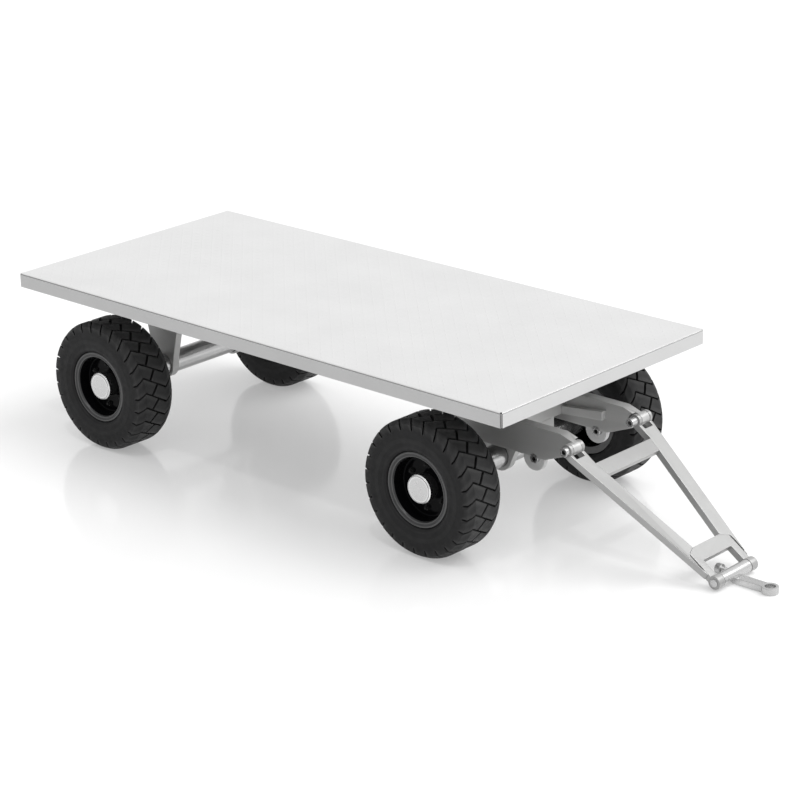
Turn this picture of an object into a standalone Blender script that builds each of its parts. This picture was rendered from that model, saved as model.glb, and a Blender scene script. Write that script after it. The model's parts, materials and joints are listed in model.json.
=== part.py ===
"""Flatbed platform trailer: a flat deck on a fixed rear axle and a turntable-steered front bogie,
with a fork-ended A-frame drawbar and a hinged towing eye.

+X points towards the towing eye, +Z up, and the origin is on the floor under the middle of the
overall length. Lengths are in metres.
"""

from math import acos, asin, atan2, cos, degrees, hypot, pi, radians, sin

import bmesh
import bpy
from mathutils import Matrix

GAP = 0.0003            # clearance between pieces that touch or are welded
OVERRUN = 0.01          # how far a cutter reaches past the face that it cuts

# Deck
DECK_LENGTH = 2.5
DECK_WIDTH = 1.15
DECK_TOP = 0.652
DECK_RIM = 0.0565
PLATE = 0.005
DECK_X = -0.374         # the deck's middle; the towing eye makes the trailer longer at +X

# Wheels and axles
WHEELBASE = 1.679
TYRE_RADIUS = 0.258
TYRE_WIDTH = 0.181
WHEEL_Y = 0.4705        # the wheel's middle plane
AXLE_RADIUS = 0.045
AXLE_HALF = 0.335       # where the thick axle bar ends and its spindles begin
SHOULDER_RADIUS = 0.030 # the step between the bar and a spindle
SHOULDER_END = 0.400
SPINDLE_RADIUS = 0.019
SPINDLE_END = 0.515
SEAT_RADIUS = 0.124     # where the tyre sits on the rim
RIM_HALF = 0.080
LIP_RADIUS = 0.141
WELL_RADIUS = 0.115     # inside of the rim, about its dish
DISC_SPAN = (0.012, 0.024)   # the dish's plate, out from the wheel's middle
HUB_BORE = 0.0345
BEARING_BORE = 0.0196
CAP_RADIUS = 0.055
CAP_SPAN = (0.0570, 0.0725)
TYRE_SIDES = 32
RIM_SIDES = 24
ROUND_SIDES = 20

REAR_X = DECK_X - 0.841
FRONT_X = REAR_X + WHEELBASE
AXLE_Z = TYRE_RADIUS

# Chassis under the deck
RAIL_Y = 0.185
RAIL_WIDTH = 0.06
RAIL_BOTTOM = 0.538
RAIL_TOP = 0.596
RAIL_REAR = DECK_X - 1.12
RAIL_FRONT = FRONT_X + 0.27
RAIL_WALL = 0.006
CROSS_WIDTH = 0.04
CROSS_WALL = 0.005
CROSS_INSET = 0.03      # of the end cross members, from the rails' ends
CROSS_OFFSET = 0.12     # of the cross members by each axle
REAR_HANGER_Y = (0.168, 0.200)
REAR_HANGER_FOOT = 0.054
REAR_HANGER_KNEE = (0.060, 0.045)
REAR_HANGER_TOP = 0.113

# Turntable
TURNTABLE_HALF = 0.225
RING_OUTER = 0.192
RING_SPLIT = 0.160
RING_INNER = 0.130
RING_PLAY = (0.0005, 0.0012)    # of the inner and outer ring, from their split
MOUNT_PLATE_BOTTOM = 0.526
OUTER_RING_BOTTOM = 0.498
INNER_RING_TOP = 0.513
BASE_PLATE_TOP = 0.486
BASE_PLATE_HALF = 0.205
KINGPIN_RADIUS = 0.018
KINGPIN_HOLE = 0.0195
KINGPIN_HEAD = 0.032    # radius of its head and of its nut
KINGPIN_TOP = 0.554
KINGPIN_END = 0.408
KINGPIN_NUT = (0.432, 0.458)
BOLSTER_TOP = 0.4737
BOLSTER_BOTTOM = 0.372
BOLSTER_HALF = 0.097
BOLSTER_WALL = 0.010
SKIRT_HALF = 0.0775
SKIRT_BOTTOM = 0.308
FRONT_HANGER_Y = (0.078, 0.106)
FRONT_HANGER_FOOT = 0.060
FRONT_HANGER_KNEE = 0.047
GUSSET_INNER = 0.133
GUSSET_END = 0.287      # from the front axle
GUSSET_BACK = (0.373, 0.403)    # bottom and top against the bolster
GUSSET_TIP = (0.390, 0.424)
TIE_X = (0.02, 0.05)    # from the side plates' rear end
TIE_Z = (0.368, 0.428)

# Bogie side plates
SIDE_INNER = 0.156
SIDE_OUTER = 0.198
SIDE_BOTTOM = 0.338
SIDE_TOP = 0.455
SIDE_REAR = -0.235      # from the front axle
SIDE_CORNER = 0.02
SIDE_KNEES = (0.292, 0.362)     # where the bottom and the top edge start to taper
LUG_X = 0.226
LUG_Z = 0.330
LUG_RADIUS = 0.047
LUG_SCREW_X = 0.240
BOSS_INNER = 0.1742
BOSS_OUTER = 0.2165
BOSS_RADIUS = 0.023

# Drawbar, in its own plane: u runs down the bar from its pivot, w is square to it
PIVOT_X = FRONT_X + 0.417
PIVOT_Z = 0.413
DRAWBAR_SLOPE = radians(33.8)
BAR_DEPTH = 0.026
FORK_INNER = (0.158, 0.1725)
FORK_OUTER = (0.2185, 0.231)
FORK_FLOOR = 0.043
FORK_SHOULDER = 0.030   # where the arm's outer face turns in
EAR_RADIUS = 0.0235
EAR_RECESS = 0.0285     # room about the pivot for the fork's inner ear
ARM_INNER = ((0.143, 0.1476), (0.526, 0.0774))
CROSS_U = (0.086, 0.143)
YOKE_U = (0.526, 0.586)
TIP_U = 0.674
TIP_W = -0.0086
TIP_RADIUS = 0.025
ARM_END = (0.640, 0.1173)
YOKE_EAR = (0.0805, 0.1135)
YOKE_EAR_U = 0.543      # where the ear's outer face leaves the arm
BOLT_RADIUS = 0.0118
BOLT_HOLE = 0.0122
BOLT_BEARING = 0.0127   # bore that turns on a bolt
BOLT_SIDES = 16
BOSS_FACE = 0.0002      # how far a round boss stands proud of its plate
HEAD_RADIUS = 0.017
HEAD_HEIGHT = 0.018
LONG_HEAD_HEIGHT = 0.032
SOCKET_RADIUS = 0.009

# Towing eye
EYE_REACH = 0.154       # from the pin to the middle of the ring
EYE_OUTER = 0.031
EYE_HOLE = 0.0185
EYE_TOP = 0.0262
EYE_BOTTOM = 0.0012
SHANK_WIDTH = 0.040
SHANK_START = 0.008
BARREL_HALF = 0.0785
BARREL_RADIUS = 0.024
STUB_RADIUS = 0.011
STUB_END = -0.074       # behind the pin
STUB_LENGTH = 0.064
EYE_NUT_X = -0.058
PIN_X = PIVOT_X + TIP_U * cos(DRAWBAR_SLOPE) + TIP_W * sin(DRAWBAR_SLOPE)
PIN_Z = PIVOT_Z - TIP_U * sin(DRAWBAR_SLOPE) + TIP_W * cos(DRAWBAR_SLOPE)

COLOURS = {
    "deck_plate": ((0.80, 0.80, 0.80), 0.35, 0.9),
    "frame_steel": ((0.60, 0.60, 0.58), 0.40, 0.8),
    "machined_steel": ((0.72, 0.72, 0.72), 0.28, 1.0),
    "bolt_steel": ((0.70, 0.70, 0.70), 0.30, 1.0),
    "tyre": ((0.035, 0.035, 0.035), 0.85, 0.0),
    "rim_black": ((0.02, 0.02, 0.02), 0.25, 0.2),
}


def clear_scene():
    for obj in list(bpy.data.objects):
        bpy.data.objects.remove(obj, do_unlink=True)


def make_collection(name):
    collection = bpy.data.collections.new(name)
    bpy.context.scene.collection.children.link(collection)
    return collection


clear_scene()
PARTS = make_collection("platform_trailer")
CUTTERS = make_collection("cutters")
CUTTERS.hide_render = True
MATERIALS = {}


def material(slot):
    if slot not in MATERIALS:
        colour, roughness, metallic = COLOURS[slot]
        made = bpy.data.materials.new(slot)
        made.use_nodes = True
        shader = made.node_tree.nodes["Principled BSDF"]
        shader.inputs["Base Color"].default_value = (*colour, 1.0)
        shader.inputs["Roughness"].default_value = roughness
        shader.inputs["Metallic"].default_value = metallic
        MATERIALS[slot] = made
    return MATERIALS[slot]


def joint_empty(name, location, rotation=(0, 0, 0), parent=None):
    """An empty on a joint's axis; pieces that move with the joint are its children."""
    empty = bpy.data.objects.new(name, None)
    empty.empty_display_size = 0.1
    empty.parent = parent
    empty.location = location
    empty.rotation_euler = rotation
    PARTS.objects.link(empty)
    return empty


def add_object(name, mesh, slot, location=(0, 0, 0), rotation=(0, 0, 0), parent=None, smooth=False):
    obj = bpy.data.objects.new(name, mesh)
    obj.location = location
    obj.rotation_euler = rotation
    obj.parent = parent
    if smooth:
        mesh.shade_smooth()
        mesh.set_sharp_from_angle(angle=radians(35))
    if slot is None:
        CUTTERS.objects.link(obj)
        obj.hide_render = True
        obj.display_type = "WIRE"
    else:
        mesh.materials.clear()
        mesh.materials.append(material(slot))
        PARTS.objects.link(obj)
    return obj


def box_mesh(size):
    mesh = bpy.data.meshes.new("box")
    bm = bmesh.new()
    bmesh.ops.create_cube(bm, size=1.0, matrix=Matrix.Diagonal((*size, 1.0)))
    bm.to_mesh(mesh)
    bm.free()
    return mesh


def add_box(name, low, high, slot, parent=None):
    """A box between two corners, which are given in the parent's frame."""
    size = [b - a for a, b in zip(low, high)]
    middle = [(a + b) / 2 for a, b in zip(low, high)]
    return add_object(name, box_mesh(size), slot, middle, parent=parent)


def rod_mesh(radius, length, sides=BOLT_SIDES):
    """A cylinder along its own Z, centred, with a flat facet square to its own Y."""
    mesh = bpy.data.meshes.new("rod")
    bm = bmesh.new()
    bmesh.ops.create_cone(
        bm, cap_ends=True, segments=sides, radius1=radius, radius2=radius, depth=length,
        matrix=Matrix.Rotation(pi / sides, 4, "Z"),
    )
    bm.to_mesh(mesh)
    bm.free()
    return mesh


def rod_along_y(name, radius, y0, y1, x, z, slot=None, parent=None, sides=BOLT_SIDES):
    mesh = rod_mesh(radius, y1 - y0, sides)
    return add_object(
        name, mesh, slot, (x, (y0 + y1) / 2, z), (pi / 2, 0, 0), parent, smooth=slot is not None
    )


def arc(centre_x, centre_y, radius, start, end, steps):
    """Points on an arc, with both ends; angles are in degrees."""
    points = []
    for i in range(steps + 1):
        angle = radians(start + (end - start) * i / steps)
        points.append((centre_x + radius * cos(angle), centre_y + radius * sin(angle)))
    return points


def circle(centre_x, centre_y, radius, sides=ROUND_SIDES):
    return [
        (centre_x + radius * cos(2 * pi * (i + 0.5) / sides),
         centre_y + radius * sin(2 * pi * (i + 0.5) / sides))
        for i in range(sides)
    ]


def outline_mesh(loops, depth):
    """A flat outline, with any further loops as holes, as a centred solid of this depth."""
    curve = bpy.data.curves.new("outline", "CURVE")
    curve.dimensions = "2D"
    curve.fill_mode = "BOTH"
    curve.extrude = depth / 2
    for loop in loops:
        spline = curve.splines.new("POLY")
        spline.points.add(len(loop) - 1)
        spline.use_cyclic_u = True
        for point, (x, y) in zip(spline.points, loop):
            point.co = (x, y, 0, 1)
    guide = bpy.data.objects.new("outline", curve)
    bpy.context.scene.collection.objects.link(guide)
    bpy.context.view_layer.update()
    evaluated = guide.evaluated_get(bpy.context.evaluated_depsgraph_get())
    mesh = bpy.data.meshes.new_from_object(evaluated)
    bpy.data.objects.remove(guide, do_unlink=True)
    bm = bmesh.new()
    bm.from_mesh(mesh)
    bmesh.ops.remove_doubles(bm, verts=bm.verts, dist=0.00001)
    bmesh.ops.recalc_face_normals(bm, faces=bm.faces)
    bm.to_mesh(mesh)
    bm.free()
    return mesh


def add_side_plate(name, loops, y0, y1, slot, location=(0, 0, 0), parent=None):
    """An outline drawn in X and Z, between two Y planes."""
    mesh = outline_mesh(loops, y1 - y0)
    x, y, z = location
    place = (x, y + (y0 + y1) / 2, z)
    return add_object(name, mesh, slot, place, (pi / 2, 0, 0), parent, smooth=True)


def add_plan_plate(name, loops, z0, z1, slot, location=(0, 0, 0), parent=None):
    """An outline drawn in X and Y, between two Z planes."""
    mesh = outline_mesh(loops, z1 - z0)
    x, y, z = location
    return add_object(name, mesh, slot, (x, y, z + (z0 + z1) / 2), parent=parent, smooth=True)


def turned_mesh(profile, sides, closed):
    """A profile of (radius, height) points turned about Z; it runs down the outer side."""
    mesh = bpy.data.meshes.new("profile")
    points = [(radius, 0.0, height) for radius, height in profile]
    edges = [(i, i + 1) for i in range(len(points) - 1)]
    if closed:
        edges.append((len(points) - 1, 0))
    mesh.from_pydata(points, edges, [])
    maker = bpy.data.objects.new("profile", mesh)
    bpy.context.scene.collection.objects.link(maker)
    screw = maker.modifiers.new("turn", "SCREW")
    screw.axis = "Z"
    screw.steps = sides
    screw.render_steps = sides
    screw.use_merge_vertices = True
    screw.merge_threshold = 0.00001
    bpy.context.view_layer.update()
    turned = bpy.data.meshes.new_from_object(
        maker.evaluated_get(bpy.context.evaluated_depsgraph_get())
    )
    bpy.data.objects.remove(maker, do_unlink=True)
    turned.transform(Matrix.Rotation(pi / sides, 4, "Z"))
    return turned


def boolean(obj, other, operation):
    modifier = obj.modifiers.new(operation.lower(), "BOOLEAN")
    modifier.operation = operation
    modifier.object = other
    modifier.solver = "EXACT"


def mirror_name(name, side):
    return f"{name}_{'left' if side > 0 else 'right'}"


def span(side, low, high):
    """The Y span from low to high, on the left (+1) or the right (-1)."""
    return (low, high) if side > 0 else (-high, -low)


# Wheel pieces, turned about their own Z, which points outward from the trailer

def tyre_profile():
    half = TYRE_WIDTH / 2
    bead, seat = 0.0735, SEAT_RADIUS + 2 * GAP
    outer = [
        (seat, bead), (LIP_RADIUS + 0.0015, bead), (0.1470, half - 0.006), (0.205, half),
        (TYRE_RADIUS - 0.015, half - 0.004), (TYRE_RADIUS, half - 0.030),
    ]
    inner = [(radius, -height) for radius, height in reversed(outer)]
    return [(radius / cos(pi / TYRE_SIDES), height) for radius, height in outer + inner]


def rim_profile():
    half, seat, lip, well = RIM_HALF, SEAT_RADIUS, LIP_RADIUS, WELL_RADIUS
    back, face = DISC_SPAN
    hole = 0.0475
    return [
        (0.135, half), (lip, half - 0.003), (lip, half - 0.0055), (seat, half - 0.006),
        (seat, 0.006 - half), (lip, 0.0055 - half), (0.135, -half), (well, 0.004 - half),
        (well, back), (hole, back), (hole, face), (well, face), (0.119, 0.068),
    ]


def hub_profile():
    nose, flange = 0.0465, 0.100
    top, seat, bottom = CAP_SPAN[0] - GAP, DISC_SPAN[0] - GAP, -0.060
    return [
        (nose, top), (nose, seat), (flange, seat), (flange, -0.002),
        (0.052, -0.008), (0.046, bottom), (HUB_BORE, bottom), (HUB_BORE, top),
    ]


def bearing_profile():
    outer, top, bottom = HUB_BORE - GAP, 0.034, -0.050
    return [(outer, top), (outer, bottom), (BEARING_BORE, bottom), (BEARING_BORE, top)]


def cap_profile():
    low, high = CAP_SPAN
    return [
        (0, high), (CAP_RADIUS - 0.004, high), (CAP_RADIUS, high - 0.0035), (CAP_RADIUS, low), (0, low)
    ]


WHEEL_MESHES = {
    "tyre": (turned_mesh(tyre_profile(), TYRE_SIDES, True), "tyre"),
    "rim": (turned_mesh(rim_profile(), RIM_SIDES, True), "rim_black"),
    "hub": (turned_mesh(hub_profile(), ROUND_SIDES, True), "rim_black"),
    "bearing": (turned_mesh(bearing_profile(), ROUND_SIDES, True), "machined_steel"),
    "hub_cap": (turned_mesh(cap_profile(), ROUND_SIDES, False), "machined_steel"),
}


def add_wheel(end, side, x, z, parent=None):
    """One wheel about its own empty, which stands on the spin axis."""
    corner = mirror_name(end, side)
    spin = joint_empty(f"{corner}_wheel_axis", (x, side * WHEEL_Y, z), parent=parent)
    for piece, (mesh, slot) in WHEEL_MESHES.items():
        add_object(
            f"{corner}_{piece}", mesh, slot, rotation=(-side * pi / 2, 0, 0), parent=spin, smooth=True
        )


def add_axle(end, x, z, parent=None):
    """A round axle bar with a turned spindle at each end, and its two wheels."""
    half = [
        (0, SPINDLE_END), (SPINDLE_RADIUS, SPINDLE_END), (SPINDLE_RADIUS, SHOULDER_END),
        (SHOULDER_RADIUS, SHOULDER_END), (SHOULDER_RADIUS, AXLE_HALF), (AXLE_RADIUS, AXLE_HALF),
    ]
    profile = half + [(radius, -height) for radius, height in reversed(half)]
    mesh = turned_mesh(profile, ROUND_SIDES, False)
    add_object(f"{end}_axle", mesh, "frame_steel", (x, 0, z), (pi / 2, 0, 0), parent, smooth=True)
    for side in (1, -1):
        add_wheel(end, side, x, z, parent)


def axle_hanger_outline(foot_radius, knee_half, knee_z, top_half, top_z):
    """A plate that widens upwards from a round foot about the axle, drawn from the axle's middle."""
    flare = -12
    foot = arc(0, 0, foot_radius, flare, -180 - flare, 12)
    return [
        [(knee_half, knee_z)] + foot + [(-knee_half, knee_z), (-top_half, top_z), (top_half, top_z)],
        circle(0, 0, AXLE_RADIUS + GAP * 2),
    ]


# Chassis

def add_deck():
    """A plate with its rims folded down: a box with its underside open."""
    mesh = bpy.data.meshes.new("deck")
    bm = bmesh.new()
    size = Matrix.Diagonal((DECK_LENGTH, DECK_WIDTH, DECK_RIM, 1.0))
    bmesh.ops.create_cube(bm, size=1.0, matrix=size)
    bm.faces.ensure_lookup_table()
    underside = min(bm.faces, key=lambda face: face.calc_center_median().z)
    bmesh.ops.delete(bm, geom=[underside], context="FACES")
    bm.to_mesh(mesh)
    bm.free()
    deck = add_object("deck_plate", mesh, "deck_plate", (DECK_X, 0, DECK_TOP - DECK_RIM / 2))
    solidify = deck.modifiers.new("sheet", "SOLIDIFY")
    solidify.thickness = PLATE
    solidify.offset = -1
    solidify.use_even_offset = True
    solidify.use_rim = True


def channel_outline(width, height, wall):
    """A C section, open on its left, drawn about its middle."""
    w, h = width / 2, height / 2
    return [[
        (-w, -h), (w, -h), (w, h), (-w, h), (-w, h - wall), (w - wall, h - wall),
        (w - wall, wall - h), (-w, wall - h),
    ]]


def add_rails():
    height = RAIL_TOP - RAIL_BOTTOM
    for side in (1, -1):
        mesh = outline_mesh(channel_outline(RAIL_WIDTH, height, RAIL_WALL), RAIL_FRONT - RAIL_REAR)
        add_object(
            mirror_name("frame_rail", side), mesh, "frame_steel",
            ((RAIL_FRONT + RAIL_REAR) / 2, side * RAIL_Y, (RAIL_TOP + RAIL_BOTTOM) / 2),
            (pi / 2, 0, pi / 2 if side > 0 else -pi / 2),
        )


def add_cross_members():
    """Cross members that carry the sheet, between its folded rims and on top of the rails."""
    low, high = RAIL_TOP + GAP, DECK_TOP - PLATE - GAP
    half_width = DECK_WIDTH / 2 - PLATE - GAP
    places = {
        "front": RAIL_FRONT - CROSS_INSET, "turntable": FRONT_X - CROSS_OFFSET, "middle": DECK_X,
        "rear_axle": REAR_X + CROSS_OFFSET, "rear": RAIL_REAR + CROSS_INSET,
    }
    for place, x in places.items():
        mesh = outline_mesh(channel_outline(CROSS_WIDTH, high - low, CROSS_WALL), 2 * half_width)
        add_object(
            f"cross_member_{place}", mesh, "frame_steel", (x, 0, (low + high) / 2), (pi / 2, 0, 0)
        )


def add_turntable_top():
    low, high = MOUNT_PLATE_BOTTOM, RAIL_BOTTOM - GAP
    square = [
        (-TURNTABLE_HALF, -TURNTABLE_HALF), (TURNTABLE_HALF, -TURNTABLE_HALF),
        (TURNTABLE_HALF, TURNTABLE_HALF), (-TURNTABLE_HALF, TURNTABLE_HALF),
    ]
    place = (FRONT_X, 0, 0)
    add_plan_plate(
        "turntable_mount_plate", [square, circle(0, 0, KINGPIN_RADIUS + GAP * 2)], low, high,
        "frame_steel", place,
    )
    inner, bottom = RING_SPLIT + RING_PLAY[1], OUTER_RING_BOTTOM
    ring = [(RING_OUTER, low - GAP), (RING_OUTER, bottom), (inner, bottom), (inner, low - GAP)]
    add_object(
        "slewing_ring_outer", turned_mesh(ring, TYRE_SIDES, True), "machined_steel", place, smooth=True
    )
    head, shank = KINGPIN_HEAD, KINGPIN_RADIUS
    pin = [(0, KINGPIN_TOP), (head, KINGPIN_TOP), (head, high + GAP), (shank, high + GAP),
           (shank, KINGPIN_END), (0, KINGPIN_END)]
    add_object("kingpin", turned_mesh(pin, ROUND_SIDES, False), "machined_steel", place, smooth=True)
    bore = shank + GAP
    nut_bottom, nut_top = KINGPIN_NUT
    nut = [(head, nut_top), (head, nut_bottom), (bore, nut_bottom), (bore, nut_top)]
    add_object("kingpin_nut", turned_mesh(nut, ROUND_SIDES, True), "bolt_steel", place, smooth=True)


def add_rear_axle():
    outline = axle_hanger_outline(
        REAR_HANGER_FOOT, *REAR_HANGER_KNEE, REAR_HANGER_TOP, RAIL_BOTTOM - GAP - AXLE_Z
    )
    for side in (1, -1):
        y0, y1 = span(side, *REAR_HANGER_Y)
        add_side_plate(
            mirror_name("rear_axle_hanger", side), outline, y0, y1, "frame_steel", (REAR_X, 0, AXLE_Z)
        )
    add_axle("rear", REAR_X, AXLE_Z)


# Front bogie

def tangent_angle(point, centre, radius, turn):
    """The angle, in degrees, at which a line from the point touches the circle."""
    dx, dz = point[0] - centre[0], point[1] - centre[1]
    return degrees(atan2(dz, dx) + turn * acos(radius / hypot(dx, dz)))


def side_plate_outline():
    """The bogie's side plate about the front axle: level, then tapering to the drawbar pivot."""
    px, pz = PIVOT_X - FRONT_X, PIVOT_Z - AXLE_Z
    low, high = SIDE_BOTTOM - AXLE_Z, SIDE_TOP - AXLE_Z
    lug_z = LUG_Z - AXLE_Z
    bottom_knee, top_knee = (SIDE_KNEES[0], low), (SIDE_KNEES[1], high)
    lug_rise = degrees(asin((low - lug_z) / LUG_RADIUS))
    upper = tangent_angle(top_knee, (px, pz), BOSS_RADIUS, -1)
    lower = tangent_angle(bottom_knee, (px, pz), BOSS_RADIUS, 1)
    corner = SIDE_CORNER
    outline = arc(SIDE_REAR + corner, low + corner, corner, 180, 270, 4)
    outline += arc(LUG_X, lug_z, LUG_RADIUS, 180 - lug_rise, 360 + lug_rise, 14)
    outline += [bottom_knee]
    outline += arc(px, pz, BOSS_RADIUS, lower, upper, 12)
    outline += [top_knee]
    outline += arc(SIDE_REAR + corner, high - corner, corner, 90, 180, 4)
    return [outline, circle(px, pz, BOLT_BEARING, BOLT_SIDES),
            circle(LUG_SCREW_X, lug_z, BOLT_HOLE, BOLT_SIDES)]


def cap_screw(name, y_head, y_end, x, z, parent, head_height=HEAD_HEIGHT):
    """A socket-head screw along Y, with its head at the -Y end."""
    shank = rod_along_y(name, BOLT_RADIUS, y_head - OVERRUN / 2, y_end, x, z, "bolt_steel", parent)
    head = rod_along_y(
        f"{name}_head", HEAD_RADIUS, y_head - head_height, y_head, x, z, parent=parent, sides=ROUND_SIDES
    )
    socket = rod_along_y(
        f"{name}_socket", SOCKET_RADIUS, y_head - head_height - OVERRUN, y_head - head_height / 2,
        x, z, parent=parent, sides=6,
    )
    boolean(shank, head, "UNION")
    boolean(shank, socket, "DIFFERENCE")
    return shank


def add_side_plates(bogie):
    outline = side_plate_outline()
    px, pz = PIVOT_X - FRONT_X, PIVOT_Z - AXLE_Z
    for side in (1, -1):
        y0, y1 = span(side, SIDE_INNER, SIDE_OUTER)
        plate = add_side_plate(
            mirror_name("bogie_side_plate", side), outline, y0, y1, "frame_steel", parent=bogie
        )
        r0, r1 = span(side, SIDE_INNER - OVERRUN, BOSS_INNER)
        recess = rod_along_y(
            mirror_name("ear_recess", side), EAR_RECESS, r0, r1, px, pz, parent=bogie, sides=ROUND_SIDES
        )
        boolean(plate, recess, "DIFFERENCE")
        b0, b1 = span(side, SIDE_OUTER - OVERRUN, BOSS_OUTER)
        boss = add_side_plate(
            mirror_name("boss", side),
            [circle(px, pz, BOSS_RADIUS), circle(px, pz, BOLT_BEARING, BOLT_SIDES)],
            b0, b1, None, parent=bogie,
        )
        boolean(plate, boss, "UNION")
        head_face = y0 - GAP
        cap_screw(mirror_name("bogie_lug_screw", side), head_face, y1, LUG_SCREW_X, LUG_Z - AXLE_Z, bogie)


def add_bolster(bogie):
    """An inverted channel between the side plates, its centre skirts and the axle hangers in it."""
    top, bottom = BOLSTER_TOP - AXLE_Z, BOLSTER_BOTTOM - AXLE_Z
    half, wall, width = BOLSTER_HALF, BOLSTER_WALL, SIDE_INNER - GAP
    section = [[
        (-half, bottom), (wall - half, bottom), (wall - half, top - wall), (half - wall, top - wall),
        (half - wall, bottom), (half, bottom), (half, top), (-half, top),
    ]]
    beam = add_side_plate("bolster_beam", section, -width, width, "frame_steel", parent=bogie)
    hole = add_object(
        "bolster_hole", rod_mesh(KINGPIN_HOLE, wall * 6, ROUND_SIDES), None, (0, 0, top), parent=bogie
    )
    boolean(beam, hole, "DIFFERENCE")
    for name, x in (("front", half - wall), ("rear", -half)):
        add_box(
            f"bolster_skirt_{name}", (x, -SKIRT_HALF, SKIRT_BOTTOM - AXLE_Z),
            (x + wall, SKIRT_HALF, bottom - GAP), "frame_steel", bogie,
        )
    inside = half - wall - GAP
    outline = axle_hanger_outline(
        FRONT_HANGER_FOOT, inside, FRONT_HANGER_KNEE, inside, top - wall - GAP
    )
    for side in (1, -1):
        y0, y1 = span(side, *FRONT_HANGER_Y)
        add_side_plate(
            mirror_name("front_axle_hanger", side), outline, y0, y1, "frame_steel", parent=bogie
        )
    back_low, back_high = (z - AXLE_Z for z in GUSSET_BACK)
    tip_low, tip_high = (z - AXLE_Z for z in GUSSET_TIP)
    start, end = half + GAP, GUSSET_END
    wedge = [[(start, back_low), (end, tip_low), (end, tip_high), (start, back_high)]]
    for side in (1, -1):
        y0, y1 = span(side, GUSSET_INNER, width)
        add_side_plate(mirror_name("bogie_gusset", side), wedge, y0, y1, "frame_steel", parent=bogie)


def add_turntable_bottom(bogie):
    low, high = BOLSTER_TOP + GAP - AXLE_Z, BASE_PLATE_TOP - AXLE_Z
    half = BASE_PLATE_HALF
    square = [(-half, -half), (half, -half), (half, half), (-half, half)]
    add_plan_plate(
        "turntable_base_plate", [square, circle(0, 0, KINGPIN_HOLE)], low, high, "frame_steel",
        parent=bogie,
    )
    outer, top = RING_SPLIT - RING_PLAY[0], INNER_RING_TOP - AXLE_Z
    ring = [(outer, top), (outer, high + GAP), (RING_INNER, high + GAP), (RING_INNER, top)]
    add_object(
        "slewing_ring_inner", turned_mesh(ring, TYRE_SIDES, True), "machined_steel", parent=bogie,
        smooth=True,
    )


def add_rear_tie(bogie):
    """The bar that joins the side plates behind the bolster."""
    width = SIDE_INNER - GAP
    add_box(
        "bogie_rear_tie", (SIDE_REAR + TIE_X[0], -width, TIE_Z[0] - AXLE_Z),
        (SIDE_REAR + TIE_X[1], width, TIE_Z[1] - AXLE_Z), "frame_steel", bogie,
    )


# Drawbar

def arm_outline(side):
    """The arm in plan: a two-eared fork at the pivot, then a bar that closes in towards the tip."""
    points = [
        (0, FORK_OUTER[1]), (FORK_SHOULDER, FORK_OUTER[1]), ARM_END, (ARM_END[0], YOKE_EAR[1] + GAP),
        (YOKE_EAR_U, YOKE_EAR[1] + GAP), ARM_INNER[1], ARM_INNER[0], (CROSS_U[0], FORK_INNER[0]),
        (0, FORK_INNER[0]), (0, FORK_INNER[1]), (FORK_FLOOR, FORK_INNER[1]),
        (FORK_FLOOR, FORK_OUTER[0]), (0, FORK_OUTER[0]),
    ]
    return [[(u, side * y) for u, y in points]]


def add_arm(drawbar, side):
    name = mirror_name("drawbar_arm", side)
    arm = add_plan_plate(name, arm_outline(side), -BAR_DEPTH, 0, "frame_steel", parent=drawbar)
    for label, (low, high) in (("ear_inner", FORK_INNER), ("ear_outer", FORK_OUTER)):
        y0, y1 = span(side, low - BOSS_FACE, high + BOSS_FACE)
        disc = rod_along_y(
            f"{name}_{label}", EAR_RADIUS, y0, y1, 0, 0, parent=drawbar, sides=ROUND_SIDES
        )
        boolean(arm, disc, "UNION")
    y0, y1 = span(side, FORK_INNER[0] - OVERRUN, FORK_OUTER[1] + OVERRUN)
    bore = rod_along_y(f"{name}_bore", BOLT_HOLE, y0, y1, 0, 0, parent=drawbar)
    boolean(arm, bore, "DIFFERENCE")


def add_cross_plates(drawbar):
    rear, front = CROSS_U
    near, far = FORK_INNER[0] - GAP, ARM_INNER[0][1] - GAP
    plate = [[(rear, -near), (front, -far), (front, far), (rear, near)]]
    add_plan_plate("drawbar_rear_crossplate", plate, -BAR_DEPTH, 0, "frame_steel", parent=drawbar)
    back, face = YOKE_U
    low, high = YOKE_EAR
    end = TIP_U - BOLT_RADIUS
    half = [(back, ARM_INNER[1][1] - GAP), (YOKE_EAR_U, high), (end, high), (end, low), (face, low)]
    outline = half + [(u, -y) for u, y in reversed(half)]
    yoke = add_plan_plate(
        "drawbar_front_yoke", [outline], -BAR_DEPTH, 0, "frame_steel", parent=drawbar
    )
    for side in (1, -1):
        y0, y1 = span(side, low - BOSS_FACE, high + BOSS_FACE)
        disc = rod_along_y(
            mirror_name("yoke_tip", side), TIP_RADIUS, y0, y1, TIP_U, TIP_W, parent=drawbar,
            sides=ROUND_SIDES,
        )
        boolean(yoke, disc, "UNION")
    reach = high + OVERRUN
    bore = rod_along_y("yoke_bore", BOLT_HOLE, -reach, reach, TIP_U, TIP_W, parent=drawbar)
    boolean(yoke, bore, "DIFFERENCE")


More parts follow.
